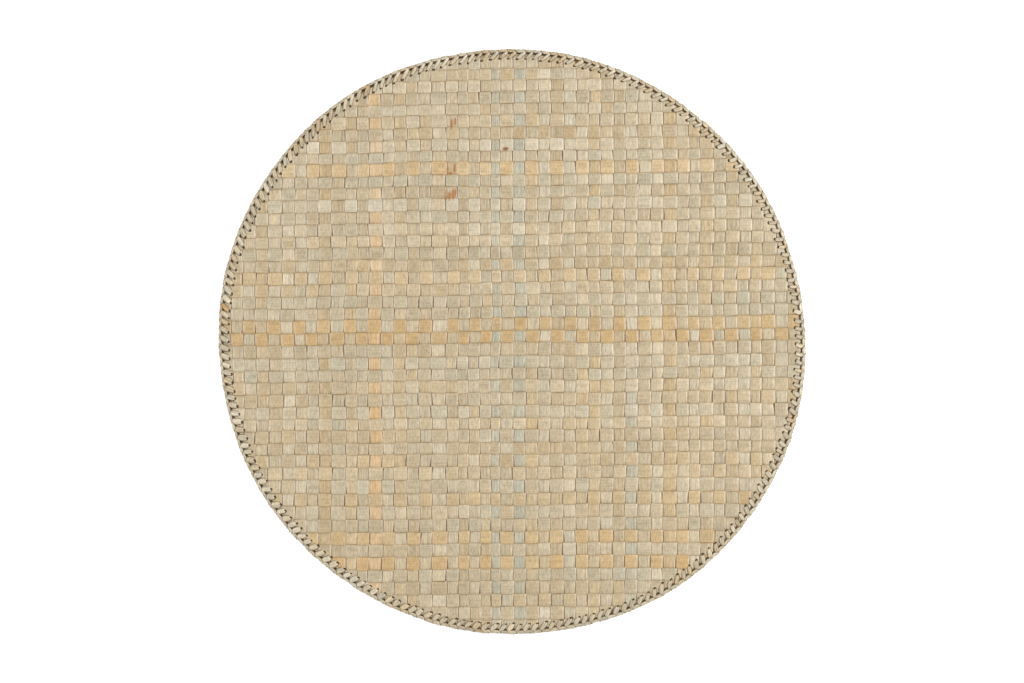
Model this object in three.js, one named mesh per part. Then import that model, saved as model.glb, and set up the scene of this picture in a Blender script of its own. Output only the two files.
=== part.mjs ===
// A round table mat woven from flat pandanus leaf strips, with its cut edge laced over by a narrow
// leaf strip. Millimetres, +Z up. The mat lies on the plane z = 0 with its centre at the origin, its
// weft strips along X and its warp strips along Y.
import * as THREE from "three";

// Driving sizes.
const MAT_RADIUS = 190; // mean radius over the laced rim
const FIELD_THICKNESS = 1.4; // two crossing leaf strips and the air that the weave traps
const LACE_THICKNESS = 0.5; // the lacing strip on either face
const CLEARANCE = 0.3; // between the lacing and the woven field
const LACE_REACH = 8.2; // from the rim inwards to the ends of the stitches
const EDGE_INSET = 2.6; // from the rim inwards to the cut edge of the woven field
const LIFT_START = 15; // from the rim inwards to where the field begins to rise on to the lacing
const LIFT_END = 9.6; // from the rim inwards to where it has risen
const RIM_ROUNDING = 0.9; // how far the lacing's outer corners are drawn in
const RIDGE_STEPS = 4; // facets up the lacing's outer ridge
const TURN_STEPS = 144; // facets round the mat

// Heights worked out from them.
const LIFT = LACE_THICKNESS + CLEARANCE;
const FIELD_TOP_AT_RIM = LIFT + FIELD_THICKNESS;
const UPPER_LACE_FOOT = FIELD_TOP_AT_RIM + CLEARANCE;
const RIM_HEIGHT = UPPER_LACE_FOOT + LACE_THICKNESS;

// The hand-cut outline is not a true circle. Each row adds lobes of a height in millimetres, the
// first of them turned from +X by an angle in degrees. Even counts keep opposite sides alike.
const OUTLINE_LOBES = [
  { lobes: 2, height: 1.2, turn: -37 },
  { lobes: 4, height: 0.35, turn: -41 },
  { lobes: 8, height: 0.28, turn: -13 },
];

// How far the outline lies outside or inside the mean circle in a direction given in radians.
function outlineOffset(angle) {
  return OUTLINE_LOBES.reduce(
    (sum, { lobes, height, turn }) =>
      sum + height * Math.cos(lobes * (angle - THREE.MathUtils.degToRad(turn))),
    0,
  );
}

// Turns a profile of [distance in from the rim, height] points about Z, then lets every ring of it
// follow the uneven outline, in full at the rim and fading out towards the centre.
function turnedOnOutline(profile) {
  const points = profile.map(
    ([inset, height]) => new THREE.Vector2(MAT_RADIUS - inset, height),
  );
  const geometry = new THREE.LatheGeometry(points, TURN_STEPS).rotateX(Math.PI / 2);
  const place = geometry.getAttribute("position");
  for (let i = 0; i < place.count; i++) {
    const angle = Math.atan2(place.getY(i), place.getX(i));
    const stretch = 1 + outlineOffset(angle) / MAT_RADIUS;
    place.setXY(i, place.getX(i) * stretch, place.getY(i) * stretch);
  }
  geometry.computeVertexNormals();
  return geometry;
}

// The woven field: a thin flat sheet that lies on the table and rises over the lacing at its edge.
function wovenField() {
  const profile = [
    [MAT_RADIUS, 0],
    [LIFT_START, 0],
    [LIFT_END, LIFT],
    [EDGE_INSET, LIFT],
    [EDGE_INSET, FIELD_TOP_AT_RIM],
    [LIFT_END, FIELD_TOP_AT_RIM],
    [LIFT_START, FIELD_THICKNESS],
    [MAT_RADIUS, FIELD_THICKNESS],
  ];
  const leaf = new THREE.MeshStandardMaterial({
    color: 0xcab898,
    roughness: 0.55,
    metalness: 0,
  });
  const mesh = new THREE.Mesh(turnedOnOutline(profile), leaf);
  mesh.name = "woven_field";
  return mesh;
}

// The lacing's outer ridge, from its foot to its top: points on a parabola that bows outwards.
function ridgeProfile() {
  return Array.from({ length: RIDGE_STEPS + 1 }, (_, i) => {
    const rise = i / RIDGE_STEPS;
    return [RIM_ROUNDING * (2 * rise - 1) ** 2, RIM_HEIGHT * rise];
  });
}

// The lacing: a ring that grips the field's edge from above and below, with a rounded outer ridge.
function rimLacing() {
  const groove = EDGE_INSET - CLEARANCE;
  const profile = [
    [LACE_REACH, 0],
    ...ridgeProfile(),
    [LACE_REACH, RIM_HEIGHT],
    [LACE_REACH, UPPER_LACE_FOOT],
    [groove, UPPER_LACE_FOOT],
    [groove, LACE_THICKNESS],
    [LACE_REACH, LACE_THICKNESS],
    [LACE_REACH, 0],
  ];
  const lace = new THREE.MeshStandardMaterial({
    color: 0xc4b596,
    roughness: 0.5,
    metalness: 0,
  });
  const mesh = new THREE.Mesh(turnedOnOutline(profile), lace);
  mesh.name = "rim_lacing";
  return mesh;
}

const mat = new THREE.Group();
mat.add(wovenField(), rimLacing());

export default mat;
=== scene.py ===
"""A round table mat, plain-woven from dried pandanus leaf strips, with its cut edge laced over.

Everything is in metres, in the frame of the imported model. The mat lies on z = 0 with its centre at the
origin. Its weft strips run along X, to the photo's right, and its warp strips along Y, to the photo's top.
"""

import logging
import math
from dataclasses import dataclass, field, replace
from enum import Enum
from typing import Any

import bpy
import numpy as np
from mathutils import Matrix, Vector


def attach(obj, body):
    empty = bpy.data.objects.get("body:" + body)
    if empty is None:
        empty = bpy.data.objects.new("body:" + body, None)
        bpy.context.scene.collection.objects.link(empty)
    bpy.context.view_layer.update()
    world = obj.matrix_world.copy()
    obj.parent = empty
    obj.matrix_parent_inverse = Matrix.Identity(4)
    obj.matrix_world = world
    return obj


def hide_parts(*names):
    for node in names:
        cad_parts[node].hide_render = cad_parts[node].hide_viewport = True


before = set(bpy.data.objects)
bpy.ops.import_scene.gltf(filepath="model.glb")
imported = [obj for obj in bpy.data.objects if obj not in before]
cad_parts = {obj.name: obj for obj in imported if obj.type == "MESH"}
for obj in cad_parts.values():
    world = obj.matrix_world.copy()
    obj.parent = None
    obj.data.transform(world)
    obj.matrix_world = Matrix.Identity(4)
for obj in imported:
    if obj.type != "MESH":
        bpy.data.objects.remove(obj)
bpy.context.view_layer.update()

# Short names for Blender's types. A source is what an input is linked from.
Tree = bpy.types.NodeTree
Node = bpy.types.Node
Socket = bpy.types.NodeSocket
Source = Node | Socket
Sockets = bpy.types.NodeOutputs
Piece = bpy.types.Object
Mesh = bpy.types.Mesh
Material = bpy.types.Material

MM = 0.001

# Sizes that the woven field and its lacing share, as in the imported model.
MAT_RADIUS = 190 * MM
FIELD_EDGE_INSET = 2.6 * MM
LIFT_START = 15 * MM
LIFT_END = 9.6 * MM
RIM_LIFT = 0.8 * MM
RIM_MID_HEIGHT = 1.5 * MM

# The rim attribute grows from 0 this far inside the rim to 1 on it.
RIM_ZONE = 10 * MM

# Blender's noise runs from 0 to 1, and does most of its swinging between these.
NOISE_LOW, NOISE_HIGH = 0.25, 0.75

# Which socket takes which type of value.
SOCKET_TYPES = {float: "NodeSocketFloat", int: "NodeSocketInt", Material: "NodeSocketMaterial"}

log = logging.getLogger("pandanus_mat")


def linear(hex_colour: str) -> tuple[float, float, float, float]:
    """Turns an sRGB colour such as "#c9b896" into linear RGBA.

    Args:
        hex_colour: The colour as six hex digits after a hash sign.

    Returns:
        Red, green, blue and an alpha of 1, in linear light.
    """
    steps = [int(hex_colour[i : i + 2], 16) / 255 for i in (1, 3, 5)]
    light = [s / 12.92 if s <= 0.04045 else ((s + 0.055) / 1.055) ** 2.4 for s in steps]
    return (*light, 1.0)


def add_node(tree: Tree, kind: str, inputs: dict | None = None, **settings: Any) -> Node:
    """Adds a node, gives it its settings and fills or links its inputs.

    Args:
        tree: The node tree that takes the node.
        kind: The node's type name.
        inputs: By input name or number, a value, a socket to link from, or a node, which is linked from its
            first output in use.
        **settings: The node's own properties.

    Returns:
        The new node.
    """
    node = tree.nodes.new(kind)
    for name, value in settings.items():
        setattr(node, name, value)
    for key, value in (inputs or {}).items():
        if isinstance(value, Node):
            value = next(socket for socket in value.outputs if socket.enabled)
        if isinstance(value, Socket):
            tree.links.new(value, node.inputs[key])
        else:
            node.inputs[key].default_value = value
    return node


def new_geometry_tree(name: str, values: dict[str, Any]) -> tuple[Tree, Sockets]:
    """Starts a Geometry Nodes tree with a geometry in and out and the named inputs.

    Args:
        name: The tree's name.
        values: The other inputs' values by name, which give them their types.

    Returns:
        The tree and its inputs.
    """
    tree = bpy.data.node_groups.new(name, "GeometryNodeTree")
    tree.interface.new_socket("Geometry", in_out="OUTPUT", socket_type="NodeSocketGeometry")
    tree.interface.new_socket("Geometry", in_out="INPUT", socket_type="NodeSocketGeometry")
    for socket, value in values.items():
        tree.interface.new_socket(socket, in_out="INPUT", socket_type=SOCKET_TYPES[type(value)])
    return tree, tree.nodes.new("NodeGroupInput").outputs


def finish_geometry_tree(tree: Tree, shape: Source, leaf: Source) -> Tree:
    """Ends a Geometry Nodes tree in Realize Instances and Set Material.

    Args:
        tree: The tree to end.
        shape: The finished geometry.
        leaf: The material to set.

    Returns:
        The tree.
    """
    solid = add_node(tree, "GeometryNodeRealizeInstances", {"Geometry": shape})
    dressed = add_node(tree, "GeometryNodeSetMaterial", {"Geometry": solid, "Material": leaf})
    add_node(tree, "NodeGroupOutput", {"Geometry": dressed})
    return tree


def shape_with_tree(piece: Piece, tree: Tree, values: dict[str, Any]) -> None:
    """Runs a Geometry Nodes tree on a piece and keeps the result as its plain mesh.

    Args:
        piece: The object whose mesh goes in.
        tree: The tree to run.
        values: The tree's inputs by name.
    """
    modifier = piece.modifiers.new(tree.name, "NODES")
    modifier.node_group = tree
    for item in tree.interface.items_tree:
        if item.in_out == "INPUT" and item.name in values:
            modifier[item.identifier] = values[item.name]
    graph = bpy.context.evaluated_depsgraph_get()
    shaped = bpy.data.meshes.new_from_object(piece.evaluated_get(graph), depsgraph=graph)
    piece.modifiers.clear()
    piece.data = shaped
    piece.data.shade_smooth()


def link_piece(name: str, mesh: Mesh) -> Piece:
    """Puts a mesh into the scene as a piece.

    Args:
        name: The piece's name.
        mesh: Its mesh.

    Returns:
        The piece's object.
    """
    piece = bpy.data.objects.new(name, mesh)
    bpy.context.scene.collection.objects.link(piece)
    return piece


@dataclass(frozen=True)
class Lobe:
    """One way in which something changes round the mat, as in the hand-cut outline.

    Attributes:
        count: How many bulges there are round the mat.
        height: How high each bulge is.
        turn: Where the first of them lies, in degrees from +X.
    """

    count: int
    height: float
    turn: float


@dataclass(frozen=True)
class Outline:
    """The mat's uneven round outline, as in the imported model.

    Attributes:
        radius: The mean radius over the laced rim.
        lobes: How the outline differs from a circle.
    """

    radius: float = MAT_RADIUS
    lobes: tuple[Lobe, ...] = (
        Lobe(count=2, height=1.2 * MM, turn=-37),
        Lobe(count=4, height=0.35 * MM, turn=-41),
        Lobe(count=8, height=0.28 * MM, turn=-13),
    )

    def stretch(self, angle: np.ndarray) -> np.ndarray:
        """Works out by how much the mat is stretched along a direction.

        Args:
            angle: Directions in radians from +X.

        Returns:
            The factor on distances from the centre.
        """
        turned = [(lobe, angle - math.radians(lobe.turn)) for lobe in self.lobes]
        offset = sum(lobe.height * np.cos(lobe.count * place) for lobe, place in turned)
        return 1 + offset / self.radius

    def inset(self, x: np.ndarray, y: np.ndarray) -> np.ndarray:
        """Measures how far points lie in from the rim, before the mat is stretched.

        Args:
            x: The points' places along X.
            y: The points' places along Y.

        Returns:
            The distances, negative outside the rim.
        """
        return self.radius - np.hypot(x, y) / self.stretch(np.arctan2(y, x))


def lobed(
    tree: Tree, angle: Source, lobes: tuple[Lobe, ...], scale: float, start: Source | float
) -> Source | float:
    """Adds the nodes that add lobes up round the mat.

    Args:
        tree: The tree that takes them.
        angle: The direction in radians from +X.
        lobes: The lobes.
        scale: What their heights are multiplied by.
        start: What they are added to.

    Returns:
        The sum.
    """
    total = start
    for lobe in lobes:
        turned = {0: angle, 1: float(lobe.count), 2: -lobe.count * math.radians(lobe.turn)}
        phase = add_node(tree, "ShaderNodeMath", turned, operation="MULTIPLY_ADD")
        wave = add_node(tree, "ShaderNodeMath", {0: phase}, operation="COSINE")
        raised = {0: wave, 1: lobe.height * scale, 2: total}
        total = add_node(tree, "ShaderNodeMath", raised, operation="MULTIPLY_ADD")
    return total


@dataclass(frozen=True)
class RoundNoise:
    """Noise that runs round the mat and meets itself.

    Attributes:
        fineness: How many swings there are to a radian, roughly.
        height: How far it swings either way.
    """

    fineness: float
    height: float

    def build(self, tree: Tree, angle: Source, seed: Source) -> Node:
        """Adds the noise to a tree.

        Args:
            tree: The tree that takes it.
            angle: The place round the mat, in radians.
            seed: Fixes the noise.

        Returns:
            The noise, about 0.
        """
        cosine = add_node(tree, "ShaderNodeMath", {0: angle}, operation="COSINE")
        sine = add_node(tree, "ShaderNodeMath", {0: angle}, operation="SINE")
        place = add_node(tree, "ShaderNodeCombineXYZ", {"X": cosine, "Y": sine, "Z": seed})
        drawn = {"Vector": place, "Scale": self.fineness, "Detail": 1.0}
        noise = add_node(tree, "ShaderNodeTexNoise", drawn)
        limits = {"From Min": NOISE_LOW, "From Max": NOISE_HIGH}
        limits |= {"To Min": -self.height, "To Max": self.height}
        return add_node(tree, "ShaderNodeMapRange", {"Value": noise} | limits, clamp=False)


@dataclass(frozen=True)
class SoftNoise:
    """Smooth random lines, one for each number, each a sum of a few sine waves.

    Attributes:
        height: About how far a line swings either way.
        length: The longest wave, in the unit of the place.
        step: How unlike the lines of two neighbouring numbers are.
        seed: Fixes the waves.
        waves: How many waves are added up.
        finer: By which power of its number each wave is shorter than the longest.
        slides: Between which shares of the step the waves of neighbouring numbers slide apart.
    """

    height: float
    length: float
    step: float
    seed: int
    waves: int = 4
    finer: float = 0.8
    slides: tuple[float, float] = (0.5, 1.4)

    def at(self, place: np.ndarray, number: np.ndarray | float) -> np.ndarray:
        """Reads the line with that number.

        Args:
            place: Where to read it.
            number: Which line, fractions included.

        Returns:
            The line's heights.
        """
        rng = np.random.default_rng(self.seed)
        total = np.zeros_like(place, dtype=float)
        for wave in range(1, self.waves + 1):
            phase, slide = rng.uniform(0, 2 * math.pi), rng.uniform(*self.slides) * rng.choice((-1, 1))
            bend = 2 * math.pi * place * wave**self.finer / self.length
            total += np.sin(bend + phase + slide * (self.step * number)) / math.sqrt(wave)
        return self.height * total / math.sqrt(self.waves / 2)


@dataclass(frozen=True)
class StripZone:
    """Neighbouring strips that were slit to one width.

    Attributes:
        first: The number of the first of them.
        last: The number of the last of them.
        width: How much room each has between its neighbours.
    """

    first: int
    last: int
    width: float


@dataclass(frozen=True)
class Lattice:
    """Where the strips' boundaries lie: the plan of the weave before it is cut round.

    Attributes:
        warp_zones: Strip widths from left to right.
        weft_zones: Strip widths from bottom to top.
        warp_zero: Where the left edge of warp strip 0 lies along X.
        weft_zero: Where the lower edge of weft strip 0 lies along Y.
        warp_jitter: How unequal neighbouring warp strips are.
        weft_jitter: How unequal neighbouring weft strips are.
        rise: The slope of the weft strips to the right, in the upper and in the lower half.
        rise_blend: Over what length along Y the one slope turns into the other.
        warp_drift: How the warp strips wander to the sides.
        weft_drift: How the weft strips wander up and down.
        seed: Fixes the strips' unequal widths.
    """

    warp_zones: tuple[StripZone, ...] = (
        StripZone(first=-26, last=-11, width=8.15 * MM),
        StripZone(first=-10, last=-7, width=8.07 * MM),
        StripZone(first=-6, last=-6, width=9.2 * MM),
        StripZone(first=-5, last=-5, width=7.9 * MM),
        StripZone(first=-4, last=-1, width=6.9 * MM),
        StripZone(first=0, last=25, width=8.06 * MM),
    )
    weft_zones: tuple[StripZone, ...] = (
        StripZone(first=-26, last=-11, width=8.25 * MM),
        StripZone(first=-10, last=0, width=8.0 * MM),
        StripZone(first=1, last=12, width=7.8 * MM),
        StripZone(first=13, last=27, width=7.6 * MM),
    )
    warp_zero: float = -6.9 * MM
    weft_zero: float = -1.0 * MM
    warp_jitter: float = 0.42 * MM
    weft_jitter: float = 0.28 * MM
    rise: tuple[float, float] = (0.014, 0.008)
    rise_blend: float = 30 * MM
    warp_drift: SoftNoise = SoftNoise(height=0.55 * MM, length=0.19, step=0.22, seed=11)
    weft_drift: SoftNoise = SoftNoise(height=0.35 * MM, length=0.21, step=0.25, seed=12)
    seed: int = 5

    def boundaries(
        self, zones: tuple[StripZone, ...], zero: float, jitter: float, seed: int
    ) -> tuple[np.ndarray, np.ndarray]:
        """Adds the strips' widths up from strip 0 both ways.

        Args:
            zones: The strips' widths.
            zero: Where strip 0 starts.
            jitter: How unequal neighbouring strips are.
            seed: Fixes the jitter.

        Returns:
            The boundaries' numbers and their places.
        """
        widths = np.concatenate([np.full(zone.last - zone.first + 1, zone.width) for zone in zones])
        numbers = np.arange(zones[0].first, zones[-1].last + 2)
        places = np.concatenate([[0], np.cumsum(widths)])
        places += zero - places[-zones[0].first]
        return numbers, places + np.random.default_rng(seed).normal(0, jitter, len(places))

    def place(self, column: np.ndarray, row: np.ndarray) -> tuple[np.ndarray, np.ndarray]:
        """Places points of the weave that are given by warp and weft numbers, fractions included.

        Args:
            column: Warp numbers, growing to the right.
            row: Weft numbers, growing to the top.

        Returns:
            The points' places along X and Y.
        """
        warps = self.boundaries(self.warp_zones, self.warp_zero, self.warp_jitter, self.seed)
        wefts = self.boundaries(self.weft_zones, self.weft_zero, self.weft_jitter, self.seed + 1)
        x = np.interp(column, *warps)
        y = np.interp(row, *wefts)
        upper = 1 / (1 + np.exp(-y / self.rise_blend))
        slope = self.rise[1] + (self.rise[0] - self.rise[1]) * upper
        return x + self.warp_drift.at(y, column), y + slope * x + self.weft_drift.at(x, row)


class Course(Enum):
    """The two ways in which a strip can run through the mat."""

    WEFT = "weft_strips"
    WARP = "warp_strips"


@dataclass(frozen=True)
class OddStrip:
    """A strip whose leaf stands out from the others.

    Attributes:
        course: Which way it runs.
        number: Which strip it is.
        tone: From 0, sage, to 1, amber.
        pale: From negative, deep, through 0 to positive, pale.
        first: The first crossing where it shows.
        last: The last crossing where it shows.
    """

    course: Course
    number: int
    tone: float
    pale: float
    first: int = -30
    last: int = 30


ODD_STRIPS = (
    OddStrip(course=Course.WEFT, number=0, tone=0.8, pale=-1.5),
    OddStrip(course=Course.WEFT, number=1, tone=0.74, pale=-1.35),
    OddStrip(course=Course.WEFT, number=14, tone=0.74, pale=0.5),
    OddStrip(course=Course.WEFT, number=13, tone=0.26, pale=-0.2),
    OddStrip(course=Course.WEFT, number=8, tone=0.5, pale=0.45),
    OddStrip(course=Course.WEFT, number=5, tone=0.62, pale=0.2),
    OddStrip(course=Course.WEFT, number=3, tone=0.28, pale=-0.5),
    OddStrip(course=Course.WEFT, number=-7, tone=0.55, pale=0.6),
    OddStrip(course=Course.WEFT, number=-9, tone=0.46, pale=-0.9),
    OddStrip(course=Course.WEFT, number=-11, tone=0.55, pale=0.5),
    OddStrip(course=Course.WEFT, number=-13, tone=0.62, pale=-0.7),
    OddStrip(course=Course.WEFT, number=-16, tone=0.72, pale=-0.5),
    OddStrip(course=Course.WEFT, number=-18, tone=0.76, pale=-0.4),
    OddStrip(course=Course.WEFT, number=21, tone=0.5, pale=1.3),
    OddStrip(course=Course.WARP, number=-11, tone=1.0, pale=1.4, last=11),
    OddStrip(course=Course.WARP, number=-11, tone=0.9, pale=1.4, first=12),
    OddStrip(course=Course.WARP, number=-1, tone=0.12, pale=0.1),
    OddStrip(course=Course.WARP, number=1, tone=0.08, pale=0.2),
    OddStrip(course=Course.WARP, number=10, tone=0.16, pale=0.3, first=-25, last=-2),
    OddStrip(course=Course.WARP, number=-18, tone=0.45, pale=1.3),
    OddStrip(course=Course.WARP, number=-15, tone=0.55, pale=-1.2),
    OddStrip(course=Course.WARP, number=-6, tone=0.5, pale=1.2),
    OddStrip(course=Course.WARP, number=12, tone=0.5, pale=1.4),
    OddStrip(course=Course.WARP, number=13, tone=0.62, pale=-0.8),
    OddStrip(course=Course.WARP, number=9, tone=0.45, pale=-1.0),
)

# A strip's seed is its number, moved up past 0, with one of these.
SEED_SHIFT = 100
COURSE_SEEDS = {Course.WEFT: 7, Course.WARP: 8}


@dataclass(frozen=True)
class LeafTones:
    """How the leaf's colour varies from strip to strip and along each strip.

    Attributes:
        tone: The mean place between sage, 0, and amber, 1.
        tone_strip: Its spread among strips.
        tone_pad: Its spread among the pads of one strip.
        pale_strip: The spread of paleness among strips.
        pale_pad: Its spread among the pads of one strip.
        likeness: How much a pad takes after the one before it on the same face.
        odd_calm: What share of the spread among its pads an odd strip has.
    """

    tone: float = 0.42
    tone_strip: float = 0.06
    tone_pad: float = 0.06
    pale_strip: float = 0.5
    pale_pad: float = 0.5
    likeness: float = 0.35
    odd_calm: float = 0.55

    def along_strip(self, course: Course, number: int, pads: np.ndarray) -> tuple[np.ndarray, np.ndarray]:
        """Colours the pads of one strip.

        Args:
            course: Which way the strip runs.
            number: Which strip it is.
            pads: The crossings' numbers along it.

        Returns:
            The pads' tones and their paleness.
        """
        rng = np.random.default_rng([number + SEED_SHIFT, COURSE_SEEDS[course]])
        tone = np.full(len(pads), self.tone + rng.normal(0, self.tone_strip))
        pale = np.full(len(pads), rng.normal(0, self.pale_strip))
        calm = np.ones(len(pads))
        for odd in ODD_STRIPS:
            if odd.course is course and odd.number == number:
                here = (pads >= odd.first) & (pads <= odd.last)
                tone[here], pale[here], calm[here] = odd.tone, odd.pale, self.odd_calm
        tone += calm * self.wander(rng, self.tone_pad, len(pads))
        pale += calm * self.wander(rng, self.pale_pad, len(pads))
        return tone, pale

    def wander(self, rng: np.random.Generator, spread: float, count: int) -> np.ndarray:
        """Draws values in which each is somewhat like the one two crossings before it.

        Args:
            rng: Where the draws come from.
            spread: The values' spread.
            count: How many to draw.

        Returns:
            The values.
        """
        values = rng.normal(0, spread, count)
        for i in range(2, count):
            values[i] = self.likeness * values[i - 2] + math.sqrt(1 - self.likeness**2) * values[i]
        return values


@dataclass(frozen=True)
class RustStain:
    """A rust-brown mark on a strip, an uneven soft-edged oval in the plan.

    Attributes:
        x: Where its middle lies along X.
        y: Where it lies along Y.
        half_width: Half its size along X.
        half_length: Half its size along Y.
        colour: Its colour.
        tatters: How many tatters its edge has over half its size, roughly.
        raggedness: How far they push its edge in and out, in halves of its size.
        edge: Between which distances from its middle, pushed out like that, it fades in.
        strength: How much of the leaf's colour it covers.
    """

    x: float
    y: float
    half_width: float
    half_length: float
    colour: str = "#a26a34"
    tatters: float = 2.2
    raggedness: float = 2.4
    edge: tuple[float, float] = (2.5, 1.8)
    strength: float = 0.85

    def mark(self, tree: Tree, colour: Source) -> Node:
        """Adds the mark to a material.

        Args:
            tree: The material's tree.
            colour: The colour around the mark.

        Returns:
            The colour with the mark.
        """
        place = add_node(tree, "ShaderNodeTexCoord").outputs["Object"]
        middle = (self.x, self.y, 0)
        centred = add_node(tree, "ShaderNodeVectorMath", {0: place, 1: middle}, operation="SUBTRACT")
        halves = (1 / self.half_width, 1 / self.half_length, 0)
        scaled = add_node(tree, "ShaderNodeVectorMath", {0: centred, 1: halves}, operation="MULTIPLY")
        drawn = {"Vector": scaled, "Scale": self.tatters, "Detail": 2.0}
        ragged = add_node(tree, "ShaderNodeTexNoise", drawn)
        distance = add_node(tree, "ShaderNodeVectorMath", {0: scaled}, operation="LENGTH")
        pushed = {0: ragged, 1: self.raggedness, 2: distance}
        reach = add_node(tree, "ShaderNodeMath", pushed, operation="MULTIPLY_ADD")
        limits = {"From Min": self.edge[0], "From Max": self.edge[1], "To Max": self.strength}
        amount = add_node(tree, "ShaderNodeMapRange", {"Value": reach} | limits)
        covered = {0: amount, 6: colour, 7: linear(self.colour)}
        return add_node(tree, "ShaderNodeMix", covered, data_type="RGBA")


@dataclass(frozen=True)
class Grain:
    """Noise whose marks have a size each way.

    Attributes:
        sizes: The marks' sizes, along and across the leaf, or along X and Y.
        apart: How unlike the marks of neighbouring strips are.
        detail: How many finer levels the noise has.
        roughness: How strong they are.
        contrast: How much the noise lightens and darkens the leaf.
    """

    sizes: tuple[float, float]
    apart: float
    detail: float
    roughness: float = 0.5
    contrast: float = 0.0

    def build(self, tree: Tree, place: Source) -> Node:
        """Adds the noise to a material.

        Args:
            tree: The material's tree.
            place: Where the noise is read.

        Returns:
            The noise, from 0 to 1.
        """
        scale = (1 / self.sizes[0], 1 / self.sizes[1], self.apart)
        drawn = add_node(tree, "ShaderNodeMapping", {"Vector": place, "Scale": scale})
        levels = {"Detail": self.detail, "Roughness": self.roughness}
        return add_node(tree, "ShaderNodeTexNoise", {"Vector": drawn, "Scale": 1.0} | levels)


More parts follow.
